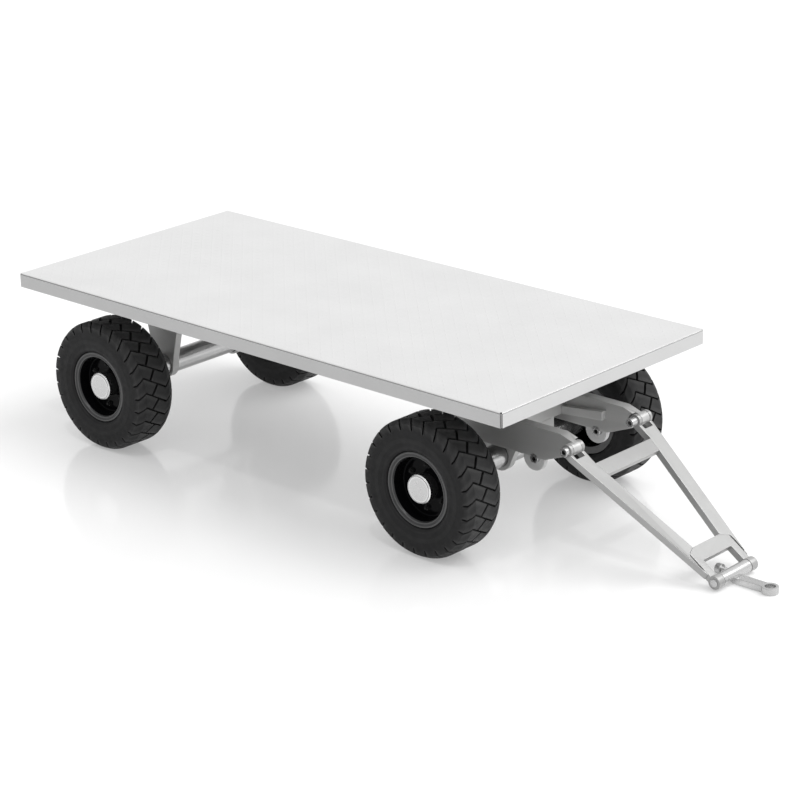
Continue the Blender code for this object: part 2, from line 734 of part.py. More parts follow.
def add_drawbar(bogie):
    drawbar = joint_empty(
        "drawbar_axis", (PIVOT_X - FRONT_X, 0, PIVOT_Z - AXLE_Z), (0, DRAWBAR_SLOPE, 0), bogie
    )
    for side in (1, -1):
        add_arm(drawbar, side)
        y0, y1 = span(side, FORK_INNER[0], FORK_OUTER[1])
        height = LONG_HEAD_HEIGHT if side > 0 else HEAD_HEIGHT
        cap_screw(
            mirror_name("drawbar_pivot_bolt", side), y0 - BOSS_FACE - GAP, y1, 0, 0, drawbar, height
        )
    add_cross_plates(drawbar)
    outer = YOKE_EAR[1]
    cap_screw("towing_eye_pin", -outer - BOSS_FACE - GAP, outer, TIP_U, TIP_W, drawbar)
    return drawbar


# Towing eye, about its pin, with X level and Z up

def add_towing_eye(drawbar):
    eye_axis = joint_empty("towing_eye_axis", (TIP_U, 0, TIP_W), (0, -DRAWBAR_SLOPE, 0), drawbar)
    low, high = EYE_BOTTOM - PIN_Z, EYE_TOP - PIN_Z
    meet = degrees(asin(SHANK_WIDTH / 2 / EYE_OUTER))
    outline = [(SHANK_START, -SHANK_WIDTH / 2)]
    outline += arc(EYE_REACH, 0, EYE_OUTER, meet - 180, 180 - meet, 24)
    outline += [(SHANK_START, SHANK_WIDTH / 2)]
    eye = add_plan_plate(
        "towing_eye", [outline, circle(EYE_REACH, 0, EYE_HOLE)], low, high, "machined_steel",
        parent=eye_axis,
    )
    barrel = rod_along_y(
        "eye_barrel", BARREL_RADIUS, -BARREL_HALF, BARREL_HALF, 0, 0, parent=eye_axis,
        sides=ROUND_SIDES,
    )
    stub = add_object(
        "eye_stub", rod_mesh(STUB_RADIUS, STUB_LENGTH), None, (STUB_END + STUB_LENGTH / 2, 0, 0),
        (0, pi / 2, 0), eye_axis,
    )
    reach = BARREL_HALF + OVERRUN
    bore = rod_along_y("eye_bore", BOLT_BEARING, -reach, reach, 0, 0, parent=eye_axis)
    for other in (barrel, stub):
        boolean(eye, other, "UNION")
    boolean(eye, bore, "DIFFERENCE")
    nut_bore, nut_half = STUB_RADIUS + 0.0004, 0.011
    nut = [(0.0165, nut_half), (0.0195, nut_half - 0.003), (0.0195, -nut_half), (nut_bore, -nut_half),
           (nut_bore, nut_half)]
    add_object(
        "towing_eye_nut", turned_mesh(nut, ROUND_SIDES, True), "machined_steel", (EYE_NUT_X, 0, 0),
        (0, -pi / 2, 0), eye_axis, smooth=True,
    )


def main():
    add_deck()
    add_rails()
    add_cross_members()
    add_turntable_top()
    add_rear_axle()

    bogie = joint_empty("front_bogie_axis", (FRONT_X, 0, AXLE_Z))
    add_turntable_bottom(bogie)
    add_bolster(bogie)
    add_rear_tie(bogie)
    add_side_plates(bogie)
    add_axle("front", 0, 0, bogie)
    add_towing_eye(add_drawbar(bogie))


main()
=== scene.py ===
"""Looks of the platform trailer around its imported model: shown shapes, finishes, light and camera.

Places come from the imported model's boxes and joints. Lengths are in metres, angles in degrees.
"""

import json
from math import acos, asin, atan2, cos, degrees, hypot, pi, radians, sin, tan

import bmesh
import bpy
from mathutils import Matrix, Vector


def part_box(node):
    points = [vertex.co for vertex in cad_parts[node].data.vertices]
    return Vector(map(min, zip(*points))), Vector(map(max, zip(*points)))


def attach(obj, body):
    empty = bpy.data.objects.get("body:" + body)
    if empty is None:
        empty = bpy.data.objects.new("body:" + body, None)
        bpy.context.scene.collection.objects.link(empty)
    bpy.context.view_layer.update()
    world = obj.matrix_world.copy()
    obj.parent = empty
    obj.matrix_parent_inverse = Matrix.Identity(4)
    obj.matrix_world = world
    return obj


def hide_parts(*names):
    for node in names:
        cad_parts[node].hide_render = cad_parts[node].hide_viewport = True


NO_TURN = Matrix.Identity(4)
SIDES = ("left", "right")
CORNERS = [(end, side) for end in ("front", "rear") for side in SIDES]

# CAD nodes shown as they are, with the rounding of their edges
REFINED = {
    0.0020: (
        "bogie_gusset_left", "bogie_gusset_right", "bogie_rear_tie", "bolster_skirt_front",
        "bolster_skirt_rear", "front_axle_hanger_left", "front_axle_hanger_right",
    ),
    0.0015: (
        "bolster_beam", "turntable_base_plate", "frame_rail_left", "frame_rail_right",
        "cross_member_front", "cross_member_turntable", "cross_member_middle",
        "cross_member_rear_axle", "cross_member_rear", "rear_axle_hanger_left",
        "rear_axle_hanger_right", "turntable_mount_plate", "slewing_ring_outer",
        "slewing_ring_inner", "kingpin", "kingpin_nut",
    ),
}
BRIGHT_NODES = ("slewing_ring_outer", "slewing_ring_inner", "kingpin", "kingpin_nut")

# Camera
CAMERA_PLACE = (6.3277, -6.9946, 3.7933)
CAMERA_HEADING = 42.652
CAMERA_TILT = 69.858
CAMERA_ROLL = -1.085
LENS = 120.16

# Studio
FLOOR_REACH = 60
FLOOR_GLOW = 0.32           # lifts the shadows on the floor, as a lit table does
WORLD_DIM = 0.43            # on the side away from the light
WORLD_BRIGHT = 1.0
WORLD_FADE = (-0.5, 0.6)    # cosines of the angle to the light, where it is dim and where bright
SUN_STRENGTH = 2.2
SUN_SPREAD = 50
SUN_FROM = (0.32, 0.26, 0.55)
GLINT_STRENGTH = 0.35
GLINT_SPREAD = 4
GLINT_FROM = (0.25, -0.30, 0.90)

# Finishes: colour, roughness, metallic share and specular level of the surface, the spread and
# scale of its clouds, the spread of its roughness, the depth and scale of its bump, the lighter
# colour along its edges, partly wear and partly painted highlight, and how much it glows
FINISHES = {
    "deck_plate": {
        "colour": (0.52, 0.52, 0.52), "roughness": 0.60, "specular": 0.20,
        "cloud": (0.02, 5), "rough_spread": 0.05, "bump": (0.00006, 900),
    },
    "frame_steel": {
        "colour": (0.275, 0.275, 0.273), "roughness": 0.34, "metallic": 0.5,
        "cloud": (0.03, 14), "rough_spread": 0.04, "bump": (0.00003, 1400),
        "edge": (0.44, 0.44, 0.437),
    },
    # A lighter copy of frame_steel: painted light on the side plates and frame parts in the shade
    # under the deck
    "painted_light_steel": {
        "colour": (0.33, 0.33, 0.327), "roughness": 0.36, "metallic": 0.4,
        "cloud": (0.03, 14), "rough_spread": 0.04, "bump": (0.00003, 1400),
        "edge": (0.52, 0.52, 0.515),
    },
    "machined_steel": {
        "colour": (0.40, 0.40, 0.40), "roughness": 0.26, "metallic": 0.8,
        "cloud": (0.03, 30), "rough_spread": 0.03, "bump": (0.0000015, 300),
        "edge": (0.62, 0.62, 0.62),
    },
    "axle": {
        "colour": (0.44, 0.44, 0.44), "roughness": 0.22, "metallic": 1.0,
        "cloud": (0.03, 20), "rough_spread": 0.04, "bump": (0.000006, 500),
        "edge": (0.6, 0.6, 0.6),
    },
    "hub_cap": {
        "colour": (0.60, 0.60, 0.60), "roughness": 0.27, "metallic": 1.0,
        "cloud": (0.02, 12), "rough_spread": 0.02, "bump": (0.000001, 60),
        "edge": (0.92, 0.92, 0.92),
    },
    "tyre": {
        "colour": (0.0135, 0.0135, 0.014), "roughness": 0.55, "specular": 0.18,
        "cloud": (0.18, 18), "rough_spread": 0.08, "bump": (0.00030, 1100),
        "edge": (0.045, 0.045, 0.045),
    },
    "rim_black": {
        "colour": (0.0025, 0.0025, 0.003), "roughness": 0.10, "specular": 0.05,
        "cloud": (0.2, 25), "rough_spread": 0.03, "bump": (0.00001, 300),
        "edge": (0.02, 0.02, 0.02),
    },
    "satin_black": {
        "colour": (0.035, 0.035, 0.036), "roughness": 0.34, "metallic": 0.3,
        "cloud": (0.15, 25), "rough_spread": 0.06, "bump": (0.00008, 800),
        "edge": (0.16, 0.16, 0.16),
    },
    # Dark finish inside the screws' hex sockets: painted shade in the hole
    "socket": {
        "colour": (0.05, 0.05, 0.05), "roughness": 0.45, "metallic": 0.8,
        "cloud": (0.1, 30), "rough_spread": 0.05, "bump": (0.0001, 800),
    },
    "pale_floor": {
        "colour": (0.54, 0.54, 0.54), "roughness": 0.13, "glow": FLOOR_GLOW,
        "cloud": (0.005, 0.6), "rough_spread": 0.02, "bump": (0.000002, 40),
    },
}
CLOUD_RANGE = (0.3, 0.7)    # noise values between which the clouds run from dark to light
EDGE_WEAR_AND_HIGHLIGHT_RANGE = (0.51, 0.58)   # pointiness between which an edge turns to its lighter colour of wear and painted highlight
CLOUD_DETAIL = 4.0
BUMP_DETAIL = 3.0
MIX_COLOURS = (6, 7)        # a Mix node's colour inputs, which share their names with others
MIX_RESULT = 2              # and its colour output

# Meshes
MERGE_REACH = 0.000005
WELD_REACH = 0.00002        # for the CAD nodes
FLAT_ANGLE = 1
BEVEL_ANGLE = 35
SHARP_ANGLE = 40
STRAIGHT_CORNER = 160       # a corner blunter than this stays as it is
ROUND_STEPS = 64
COARSE_STEPS = 24
SMALL_STEPS = 48
FINE_STEPS = 96
RIM_STEPS = 128

# Deck
SHEET = 0.005
BEND = 0.007                # outer radius where the sheet folds down
BEND_STEP = 15
INNER_EDGE = 0.0006         # rounding of the folded rim's lower edge, inside and outside
OUTER_EDGE = 0.0008
DECK_CORNER = 0.009
LEAST_CORNER = 0.0012
SEAM_DEPTH = 0.009
SEAM_HALF = 28              # half of the part of the corner that the slit takes
SEAM_FLOOR = 0.8            # of that angle, at the slit's bottom
SEAM_GROWTH = 2             # added to that half with each row of the bend
SEAM_FADE = 150             # angle round the bend at which the slit would run out
CORNER_SHARES = (0, 0.4, 0.8, 1)        # places of points between a straight side and the slit
CORNER_POINTS = 10
SLIT_COLUMNS = (3, 4, 5)    # of those points, the ones that start a face of the slit
LINE_WIDTH = 0.0032         # fine line pressed along the top, inside the bend
LINE_DEPTH = 0.0006
SHADE_LINE_BENDS = 3            # lower rows of the bend, in the axle finish: a painted shade line along the fold
DECK_FINISHES = ("deck_plate", "rim_black", "axle")     # sheet, painted shade in the corner slits, painted shade line along the fold
RELIEF = 0.0005             # height of the tread plate's lozenges
RELIEF_PITCH = 0.0295
RELIEF_MARGIN = BEND + 0.006
RELIEF_SHARP = 20
LOZENGE = (0.0120, 0.0034)  # half length and half width
LOZENGE_BULGE = (0.62, 0.72)            # shares of those at which its sides bend
LOZENGE_TOP = 0.72          # size of its top against its foot

# Tyre, with places across the tread measured from the outer shoulder
PITCHES = 27
BLOCK_STEPS = 5
GROOVE = 0.0078
GROOVE_WALL = 0.0007
GROOVE_DEPTH = 0.012
# A lateral groove's bends: (place across the tread, distance round the tyre)
KINKS = ((0.0, 0.0), (0.032, 0.026), (0.134, -0.033), (0.181, 0.012))
LINK = (0.062, 0.095)       # where the short groove leaves one long run and meets the next
LINK_HALF = 0.58 * GROOVE
SHOULDER_DROP, SHOULDER_INSET, SHOULDER_SHELF = 0.015, 0.004, 0.030
SHELF_EDGE = 0.002
SHELF_SAG = 0.0006
SHOULDER_SAG = 0.38         # share of the drop, half way across the shoulder
SHOULDER_DEPTH = 0.0178     # of a groove, outside the shelf
SHELF_OVERLAP = 0.003
MOUTH_WIDTH = 0.006         # the outermost part of a groove, whose floor is moved inward
MOUTH_SHIFT = 0.009
WALL_TOP_DROP = 0.020       # the sidewall's last point, from the shoulder
WALL_TOP_OUT = 0.0020
TYRE_SHARP = 32
SIDEWALL = (                # (radius, distance from the tyre's middle), from the bead outward
    (0.1246, 0.0735), (0.1425, 0.0735), (0.1442, 0.0790), (0.1475, 0.0838), (0.1500, 0.0846),
    (0.1512, 0.0860), (0.1560, 0.0882), (0.1660, 0.0897), (0.1760, 0.0899), (0.1772, 0.0904),
    (0.1930, 0.0905), (0.1942, 0.0900), (0.2100, 0.0900), (0.2180, 0.0894),
)

# Rim, hub and cap: outlines of (radius, height), with heights from the wheel's middle outward
FLANGE_INNER = 0.1185       # outside it the rim is satin
RIM_FLANGE = (
    (0.1410, 0.0746), (0.1410, 0.0772), (0.1398, 0.0790), (0.1378, 0.0799), (0.1352, 0.0799),
    (0.1334, 0.0790), (0.1322, 0.0772), (0.1300, 0.0764), (0.1270, 0.0764), (0.1256, 0.0772),
    (0.1238, 0.0774), (0.1222, 0.0764), (0.1214, 0.0742), (0.1200, 0.0722), (0.1186, 0.0700),
)
RIM_DISH = (
    (0.1180, 0.0660), (0.1160, 0.0480), (0.1150, 0.0330), (0.1142, 0.0275), (0.1120, 0.0250),
    (0.1080, 0.0240), (0.1000, 0.0240), (0.0975, 0.0248), (0.0680, 0.0248), (0.0655, 0.0240),
    (0.0500, 0.0240), (0.0478, 0.0232), (0.0475, 0.0215), (0.0475, 0.0120),
)
RIM_BACK = (
    (0.1130, 0.0120), (0.1148, 0.0100), (0.1150, -0.0740), (0.1340, -0.0798), (0.1390, -0.0796),
    (0.1410, -0.0775), (0.1410, -0.0747), (0.1250, -0.0738), (0.1240, -0.0700), (0.1240, 0.0700),
    (0.1250, 0.0738),
)
HUB = (
    (0.0345, 0.0566), (0.0455, 0.0566), (0.0465, 0.0555), (0.0465, 0.0118), (0.100, 0.0117),
    (0.100, -0.001), (0.098, -0.0025), (0.054, -0.008), (0.051, -0.012), (0.047, -0.058),
    (0.0455, -0.060), (0.0345, -0.060),
)
CAP = (                     # a wide chamfer round a shallow machined face
    (0, 0.0718), (0.0400, 0.0718), (0.0412, 0.0722), (0.0462, 0.0725), (0.0474, 0.0720),
    (0.0478, 0.0700), (0.0494, 0.0698), (0.0502, 0.0714), (0.0510, 0.0718), (0.0544, 0.0688),
    (0.0550, 0.0678), (0.0550, 0.0582), (0.0540, 0.0571), (0, 0.0571),
)

# Wheel nuts, on the dish's seating face
NUT_SEAT = 0.0248
NUT_CIRCLE = 0.082
NUT_COUNT = 6
NUT_RADIUS, NUT_HEIGHT, NUT_EDGE = 0.0105, 0.009, 0.0010
WASHER_RADIUS, WASHER_FOOT, WASHER_TOP, WASHER_EDGE = 0.0128, 0.001, 0.0016, 0.0006
WASHER_STEPS = 32
STUD_RADIUS, STUD_REACH, STUD_CHAMFER = 0.0058, 0.0145, 0.0010

# Axles: radii, and the distances from the trailer's middle at which they start
SPINDLE_RADIUS, SPINDLE_START = 0.019, 0.400
COLLAR_RADIUS, COLLAR_START = 0.030, 0.335
SPINDLE_CHAMFER = 0.0015
AXLE_CHAMFER = 0.004
AXLE_MIDDLE = 0.120

# Bogie plates, with lengths and heights from the front axle and spans from the trailer's middle
PLATE_BOTTOM = 0.080
PLATE_CORNER = 0.02
PLATE_EDGE = 0.002
BOTTOM_KNEE, TOP_KNEE = 0.292, 0.362
PLATE_INNER, PLATE_FACE, BOSS_END = 0.156, 0.198, 0.2165
BOSS_RADIUS, BOSS_FOOT, BOSS_EDGE = 0.023, 0.004, 0.0015
NOSE_STEPS = 24
CORNER_STEPS = 8
RECESS_RADIUS, RECESS_END = 0.0285, 0.1742
CUT_EDGE = 0.0005
CUT_OVERRUN = 0.010
BOLT_CLEARANCE = 0.0127
LUG_X, LUG_Z, LUG_RADIUS = 0.226, 0.072, 0.048
LUG_EDGE = 0.003
LUG_DROP = 0.005
LUG_INSET = 0.0008          # of the lug's back, from the plate's face
LUG_RECESS = 0.019          # how far in the lug's screwed face stands, with its screw's head
LUG_NOTCH = 0.0205          # radius of the plate's notch around that head
LUG_NOTCH_SPARE = 0.0006
LUG_SCREW_X = 0.240
LUG_HOLE = 0.0122

# Socket-head screws
HEAD_RADIUS, HEAD_EDGE = 0.017, 0.0018
HEAD_HEIGHT = 0.018
NUT_END_HEIGHT = 0.032      # of the left pivot screw's inner end
SHANK_RADIUS = 0.0118
SHANK_OVERLAP = 0.002
SOCKET_RADIUS, SOCKET_DEPTH = 0.0088, 0.009
SOCKET_MARGIN = 0.0008
SOCKET_RIM = 0.0015         # depth at which the socket's dark finish, painted shade inside the hole, starts
SOCKET_FLOOR_RADIUS, SOCKET_FLOOR_EDGE, SOCKET_FLOOR_SPARE = 0.0130, 0.0003, 0.001

# Drawbar, in its own plane: half outlines of (distance from its pivot, distance from the middle)
BAR_DEPTH = 0.026
BAR_EDGE = 0.0018
BAR_FILLET, BAR_FILLET_STEPS = 0.004, 4
TIP_W = -0.0086             # the eye pin, below the bars' top
FORK_EARS = ((0.158, 0.1725), (0.2185, 0.231))
EAR_RADIUS, EAR_EDGE = 0.0235, 0.0015
EAR_PROUD = 0.0002
SLOT = 0.0050               # between the arm and the yoke's ear
ARM = (
    (0, 0.231), (0.030, 0.231), (0.640, 0.1173), (0.640, 0.1138), (0.626, 0.1138),
    (0.615, 0.1138 + SLOT), (0.552, 0.1138 + SLOT), (0.543, 0.1138), (0.526, 0.0774),
    (0.143, 0.1476), (0.086, 0.158), (0, 0.158), (0, 0.1725), (0.043, 0.1725), (0.043, 0.2185),
    (0, 0.2185),
)
CROSSPLATE = ((0.086, -0.1577), (0.143, -0.1473))
CROSSPLATE_EDGE = 0.0015
YOKE_REAR = ((0.526, 0.0771), (0.543, 0.1135))
YOKE_EAR = (0.0805, 0.1135)
YOKE_WEB_END = 0.586
YOKE_SHORT = 0.008          # how far its flat ears end before the pin
YOKE_FILLET = 0.003
YOKE_EAR_EDGE = 0.002
TIP_RADIUS = 0.025

# Eye and its pin
PIN_HEAD_RADIUS, PIN_HEAD_HEIGHT = 0.0145, 0.0040
PIN_HEAD_CHAMFER = (0.0020, 0.0015)     # across and along the pin
PIN_SEAT = 0.018            # from the CAD pin's near end
PIN_CHAMFER = 0.001
EYE_OUTER, EYE_HOLE, EYE_EDGE = 0.031, 0.0185, 0.003
EYE_HALF_WIDTH = 0.020
EYE_START = 0.008
EYE_BOTTOM, EYE_TOP = 0.0012, 0.0262
BARREL_RADIUS, BARREL_HALF = 0.024, 0.0785
STUB_RADIUS, STUB_END, STUB_START, STUB_CHAMFER = 0.011, 0.0740, 0.012, 0.0015
EYE_NUT_RADIUS, EYE_NUT_HOLE, EYE_NUT_EDGE = 0.0195, 0.0114, 0.002
EYE_NUT_SPAN = (0.047, 0.069)


# Mesh helpers

def fillet(points, radius, steps=3):
    """The closed outline with each corner rounded, by at most a third of its shorter side."""
    made = []
    for i, point in enumerate(points):
        here = Vector(point)
        before = Vector(points[i - 1]) - here
        after = Vector(points[(i + 1) % len(points)]) - here
        turn = before.angle(after)
        if turn > radians(STRAIGHT_CORNER):
            made.append(point)
            continue
        cut = min(radius / tan(turn / 2), before.length / 3, after.length / 3)
        start, end = here + before.normalized() * cut, here + after.normalized() * cut
        for k in range(steps + 1):
            t = k / steps
            made.append(tuple((1 - t) ** 2 * start + 2 * t * (1 - t) * here + t ** 2 * end))
    return made


def arc(x, y, radius, start, end, steps):
    """Points on an arc, with both ends."""
    angles = [radians(start + (end - start) * i / steps) for i in range(steps + 1)]
    return [(x + radius * cos(a), y + radius * sin(a)) for a in angles]


def ring(x, y, radius, sides=ROUND_STEPS):
    return arc(x, y, radius, 0, 360 * (sides - 1) / sides, sides - 1)


def mirrored(half):
    """Half an outline and its mirror image, as one loop."""
    return [*half, *((x, -y) for x, y in reversed(half))]


def meshed(name, points, faces):
    mesh = bpy.data.meshes.new(name)
    mesh.from_pydata(points, [], faces)
    return mesh


def clean(mesh):
    bm = bmesh.new()
    bm.from_mesh(mesh)
    bmesh.ops.remove_doubles(bm, verts=bm.verts, dist=MERGE_REACH)
    bmesh.ops.recalc_face_normals(bm, faces=bm.faces)
    bm.to_mesh(mesh)
    bm.free()
    return mesh


def evaluated_mesh(obj):
    bpy.context.view_layer.update()
    evaluated = obj.evaluated_get(bpy.context.evaluated_depsgraph_get())
    return bpy.data.meshes.new_from_object(evaluated)


def plate(loops, low, high, edge, matrix=NO_TURN):
    """A flat outline, with any further loops as holes, between two heights, its edges rounded."""
    curve = bpy.data.curves.new("outline", "CURVE")
    curve.dimensions = "2D"
    curve.fill_mode = "BOTH"
    curve.extrude = (high - low) / 2 - edge
    curve.bevel_depth = edge
    curve.bevel_resolution = 1
    curve.offset = -edge
    for loop in loops:
        spline = curve.splines.new("POLY")
        spline.points.add(len(loop) - 1)
        spline.use_cyclic_u = True
        for point, (x, y) in zip(spline.points, loop):
            point.co = (x, y, 0, 1)
    guide = bpy.data.objects.new("outline", curve)
    bpy.context.scene.collection.objects.link(guide)
    mesh = evaluated_mesh(guide)
    bpy.data.objects.remove(guide, do_unlink=True)
    mesh.transform(matrix @ Matrix.Translation((0, 0, (low + high) / 2)))
    return clean(mesh)


def skinned(name, points, count, closed=True):
    """Faces between rings of this many points each, the last ring joined to the first."""
    rings = len(points) // count
    faces = []
    for i in range(rings):
        a, b = i * count, (i + 1) % rings * count
        for j in range(count if closed else count - 1):
            k = (j + 1) % count
            faces.append((a + j, b + j, b + k, a + k))
    return meshed(name, points, faces)


def turned(profile, matrix=NO_TURN, closed=True, steps=ROUND_STEPS):
    """A profile of (radius, height) points turned about Z."""
    points = []
    for i in range(steps):
        angle = 2 * pi * i / steps
        points += [(r * cos(angle), r * sin(angle), z) for r, z in profile]
    mesh = skinned("turned", points, len(profile), closed)
    mesh.transform(matrix)
    return clean(mesh)


def joined(*meshes):
    bm = bmesh.new()
    for mesh in meshes:
        bm.from_mesh(mesh)
    made = bpy.data.meshes.new("joined")
    bm.to_mesh(made)
    bm.free()
    return made


def cut_from(mesh, cutter):
    pair = [bpy.data.objects.new("solid", m) for m in (mesh, cutter)]
    for obj in pair:
        bpy.context.scene.collection.objects.link(obj)
    modifier = pair[0].modifiers.new("cut", "BOOLEAN")
    modifier.operation = "DIFFERENCE"
    modifier.object = pair[1]
    modifier.solver = "EXACT"
    made = evaluated_mesh(pair[0])
    for obj in pair:
        bpy.data.objects.remove(obj, do_unlink=True)
    return clean(made)


def keep_flat_faces(obj):
    weigh = obj.modifiers.new("flat_faces", "WEIGHTED_NORMAL")
    weigh.keep_sharp = True


def show(name, mesh, body, finish, nodes=(), matrix=NO_TURN, sharp=SHARP_ANGLE):
    """The mesh as a piece that rides on a body and stands for these CAD nodes."""
    mesh.shade_smooth()
    mesh.set_sharp_from_angle(angle=radians(sharp))
    if not mesh.materials:
        mesh.materials.append(FINISH[finish])
    obj = bpy.data.objects.new(name, mesh)
    bpy.context.scene.collection.objects.link(obj)
    obj.matrix_world = matrix
    keep_flat_faces(obj)
    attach(obj, body)
    if nodes:
        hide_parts(*nodes)


def refine(node, width):
    """A CAD node shown as it is, with its faces merged and its edges rounded by modifiers."""
    obj = frame["nodes"][node]
    obj.data.shade_smooth()
    weld = obj.modifiers.new("weld", "WELD")
    weld.merge_threshold = WELD_REACH
    faces = obj.modifiers.new("faces", "DECIMATE")
    faces.decimate_type = "DISSOLVE"
    faces.angle_limit = radians(FLAT_ANGLE)
    bevel = obj.modifiers.new("edges", "BEVEL")
    bevel.width = width
    bevel.segments = 2
    bevel.limit_method = "ANGLE"
    bevel.angle_limit = radians(BEVEL_ANGLE)
    keep_flat_faces(obj)


# Finishes

class Finish:
    """A procedural material: cloudy colour and roughness, fine bump, edges of wear and painted
    highlight.
    """

    def __init__(self, name):
        self.material = bpy.data.materials.new(name)
        self.material.use_nodes = True
        self.tree = self.material.node_tree
        self.shader = self.tree.nodes["Principled BSDF"]
        self.place = self.node("ShaderNodeTexCoord").outputs["Object"]

    def node(self, kind, **settings):
        made = self.tree.nodes.new(kind)
        for key, value in settings.items():
            setattr(made, key, value)
        return made

    def link(self, source, target):
        self.tree.links.new(source, target)

    def noise(self, scale, detail=CLOUD_DETAIL):
        made = self.node("ShaderNodeTexNoise")
        made.inputs["Scale"].default_value = scale
        made.inputs["Detail"].default_value = detail
        self.link(self.place, made.inputs["Vector"])
        return made.outputs["Fac"]

    def ranged(self, value, low, high, source=CLOUD_RANGE):
        made = self.node("ShaderNodeMapRange")
        self.link(value, made.inputs["Value"])
        made.inputs["From Min"].default_value, made.inputs["From Max"].default_value = source
        made.inputs["To Min"].default_value, made.inputs["To Max"].default_value = low, high
        return made.outputs["Result"]

    def mixed(self, factor, first, second):
        made = self.node("ShaderNodeMix", data_type="RGBA")
        self.link(factor, made.inputs["Factor"])
        for socket, colour in zip(MIX_COLOURS, (first, second)):
            if isinstance(colour, tuple):
                made.inputs[socket].default_value = (*colour, 1.0)
            else:
                self.link(colour, made.inputs[socket])
        return made.outputs[MIX_RESULT]

    def build(
        self, colour, roughness, cloud, rough_spread, bump, metallic=0.0, specular=None, edge=None,
        glow=None,
    ):
        self.shader.inputs["Metallic"].default_value = metallic
        if specular is not None:
            self.shader.inputs["Specular IOR Level"].default_value = specular
        if glow is not None:
            self.shader.inputs["Emission Color"].default_value = (1, 1, 1, 1)
            self.shader.inputs["Emission Strength"].default_value = glow
        cloud_spread, cloud_scale = cloud
        bump_depth, bump_scale = bump
        dark = tuple(c * (1 - cloud_spread) for c in colour)
        light = tuple(min(1.0, c * (1 + cloud_spread)) for c in colour)
        shade = self.mixed(self.ranged(self.noise(cloud_scale), 0, 1), dark, light)
        # Lighter colour along sharp edges: partly wear, partly painted highlight
        if edge:
            bend = self.node("ShaderNodeNewGeometry").outputs["Pointiness"]
            shade = self.mixed(self.ranged(bend, 0, 1, EDGE_WEAR_AND_HIGHLIGHT_RANGE), shade, edge)
        self.link(shade, self.shader.inputs["Base Color"])
        rough = self.ranged(
            self.noise(cloud_scale * 3), roughness - rough_spread, roughness + rough_spread
        )
        self.link(rough, self.shader.inputs["Roughness"])
        relief = self.node("ShaderNodeBump")
        relief.inputs["Strength"].default_value = 1.0
        relief.inputs["Distance"].default_value = bump_depth
        self.link(self.noise(bump_scale, BUMP_DETAIL), relief.inputs["Height"])
        self.link(relief.outputs["Normal"], self.shader.inputs["Normal"])


def made_finish(name):
    finish = Finish(name)
    finish.build(**FINISHES[name])
    return finish.material


# Places

def joint_place(name):
    return Vector(next(j["pos_m"] for j in frame["joints"] if j["name"] == name))


def wheel_matrix(end, side):
    """The wheel's middle, with Z outward."""
    low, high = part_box(f"{end}_{side}_tyre")
    turn = -pi / 2 if side == "left" else pi / 2
    return Matrix.Translation((low + high) / 2) @ Matrix.Rotation(turn, 4, "X")


def side_plane(x, z, side):
    """Draws an outline in X and Z about a point; heights run out from the trailer's middle."""
    if side == "left":
        return Matrix.Translation((x, 0, z)) @ Matrix(
            ((1, 0, 0, 0), (0, 0, 1, 0), (0, 1, 0, 0), (0, 0, 0, 1))
        )
    return Matrix.Translation((x, 0, z)) @ Matrix.Rotation(pi / 2, 4, "X")


def along_y(x, y, z):
    """A place from which Z runs along +Y."""
    return Matrix.Translation((x, y, z)) @ Matrix.Rotation(-pi / 2, 4, "X")


# Tyres

def groove_path(place):
    """How far round the tyre a lateral groove stands at this place across it."""
    for (y0, c0), (y1, c1) in zip(KINKS, KINKS[1:]):
        if place <= y1:
            return c0 + (c1 - c0) * (place - y0) / (y1 - y0)
    return KINKS[-1][1]


def tread_rows(width):
    """Rows across the tread: (place at the pitch's start, at its end, groove or not, drop)."""
    shoulder = [
        (SHOULDER_INSET, SHOULDER_DROP),
        ((SHOULDER_INSET + SHOULDER_SHELF) / 2, SHOULDER_DROP * SHOULDER_SAG),
        (SHOULDER_SHELF - SHELF_EDGE, SHELF_SAG),
        (SHOULDER_SHELF + SHELF_EDGE, 0.0),
    ]
    link_edges = (
        (-LINK_HALF, False), (GROOVE_WALL - LINK_HALF, True), (LINK_HALF - GROOVE_WALL, True),
        (LINK_HALF, False),
    )
    rows = [(y, y, False, drop) for y, drop in shoulder]
    rows.append((KINKS[1][0], KINKS[1][0], False, 0.0))
    rows += [(LINK[0] + e, LINK[1] + e, floor, 0.0) for e, floor in link_edges]
    rows.append((KINKS[2][0], KINKS[2][0], False, 0.0))
    rows += [(width - y, width - y, False, drop) for y, drop in reversed(shoulder)]
    return rows


def tread_columns(pitch):
    """Columns along one pitch: (place from 0 to 1, floor of the lateral groove or not)."""
    half = GROOVE / 2 / pitch
    wall = GROOVE_WALL / pitch
    block = [half + (1 - 2 * half) * k / BLOCK_STEPS for k in range(BLOCK_STEPS + 1)]
    return [(half - wall, True)] + [(t, False) for t in block] + [(1 - half + wall, True)]


def tread_point(row, t, in_groove, radius, width):
    """(radius, height, place across the tread) where a row and a column meet."""
    start, end, in_link, drop = row
    place = start + (end - start) * t
    edge = min(place, width - place)
    depth = GROOVE_DEPTH if edge > SHOULDER_SHELF - SHELF_OVERLAP else SHOULDER_DEPTH
    sunk = in_groove or in_link
    z = width / 2 - place
    if sunk and edge < MOUTH_WIDTH:
        z -= MOUTH_SHIFT if z > 0 else -MOUTH_SHIFT
    return radius - drop - (depth if sunk else 0), z, place


